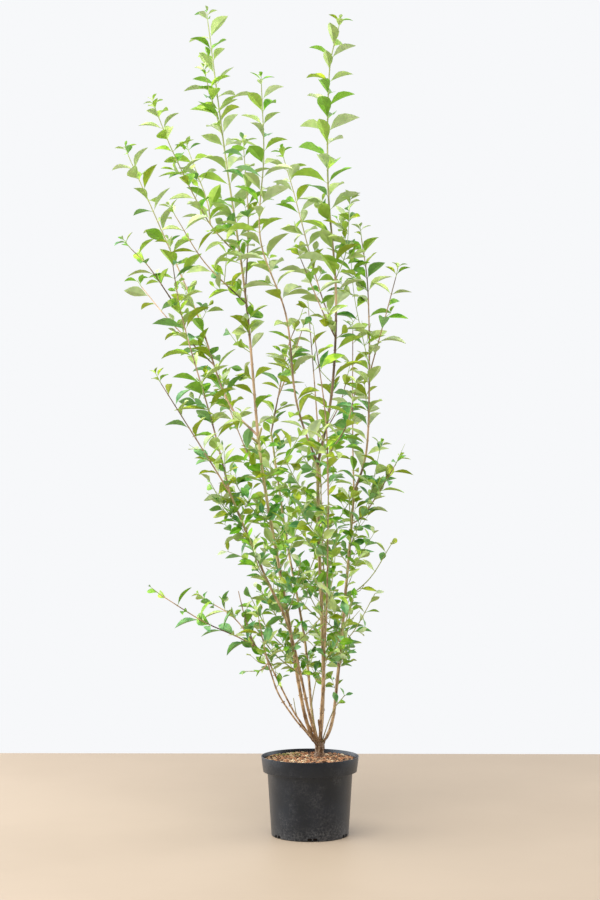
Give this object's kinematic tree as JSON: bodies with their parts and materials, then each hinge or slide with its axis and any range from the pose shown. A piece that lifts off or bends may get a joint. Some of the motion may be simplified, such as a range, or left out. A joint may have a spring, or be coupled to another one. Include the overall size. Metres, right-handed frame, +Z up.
{
  "type": "potted california privet",
  "caption": "Tall many-stemmed evergreen shrub with small glossy leaves on upright shoots, growing from a short stool in a round black nursery pot with a collar and drain slots.",
  "frame": {"origin": "middle of the pot's flat underside, on the surface that the pot stands on", "axes": "+Z up, +X to the right of the picture's view, +Y away from it"},
  "size_m": [0.7146, 0.6291, 1.927],
  "materials": {
    "pot": "matte",
    "soil": "matte",
    "bark": "matte",
    "foliage": "satin"
  },
  "bodies": {
    "root": {"bough_back": "bark", "bough_back_left": "bark", "bough_front": "bark", "bough_left_low": "bark", "bough_left_tall": "bark", "bough_low_left": "bark", "bough_low_left_twin": "bark", "bough_right": "bark", "bough_right_tall": "bark", "mass_back": "foliage", "mass_back_left": "foliage", "mass_front": "foliage", "mass_left_fan": "foliage", "mass_left_leader": "foliage", "mass_left_low": "foliage", "mass_left_outer": "foliage", "mass_left_rear": "foliage", "mass_low_left_arm": "foliage", "mass_low_left_foot": "foliage", "mass_middle": "foliage", "mass_right_leader": "foliage", "mass_right_outer": "foliage", "mass_right_rear": "foliage", "mass_right_side": "foliage", "pot": "pot", "soil": "soil", "spray_back_1": "foliage", "spray_back_2": "foliage", "spray_back_3": "foliage", "spray_back_left_1": "foliage", "spray_back_left_2": "foliage", "spray_back_left_3": "foliage", "spray_back_left_4": "foliage", "spray_front_1": "foliage", "spray_front_2": "foliage", "spray_front_3": "foliage", "spray_left_low_1": "foliage", "spray_left_low_2": "foliage", "spray_left_low_3": "foliage", "spray_left_low_4": "foliage", "spray_left_low_5": "foliage", "spray_left_low_6": "foliage", "spray_left_tall_1": "foliage", "spray_left_tall_2": "foliage", "spray_left_tall_3": "foliage", "spray_left_tall_4": "foliage", "spray_left_tall_5": "foliage", "spray_right_1": "foliage", "spray_right_2": "foliage", "spray_right_3": "foliage", "spray_right_4": "foliage", "spray_right_5": "foliage", "spray_right_tall_1": "foliage", "spray_right_tall_2": "foliage", "spray_right_tall_3": "foliage", "spray_right_tall_4": "foliage", "spray_right_tall_5": "foliage", "trunk": "bark"}
  },
  "joints": []
}
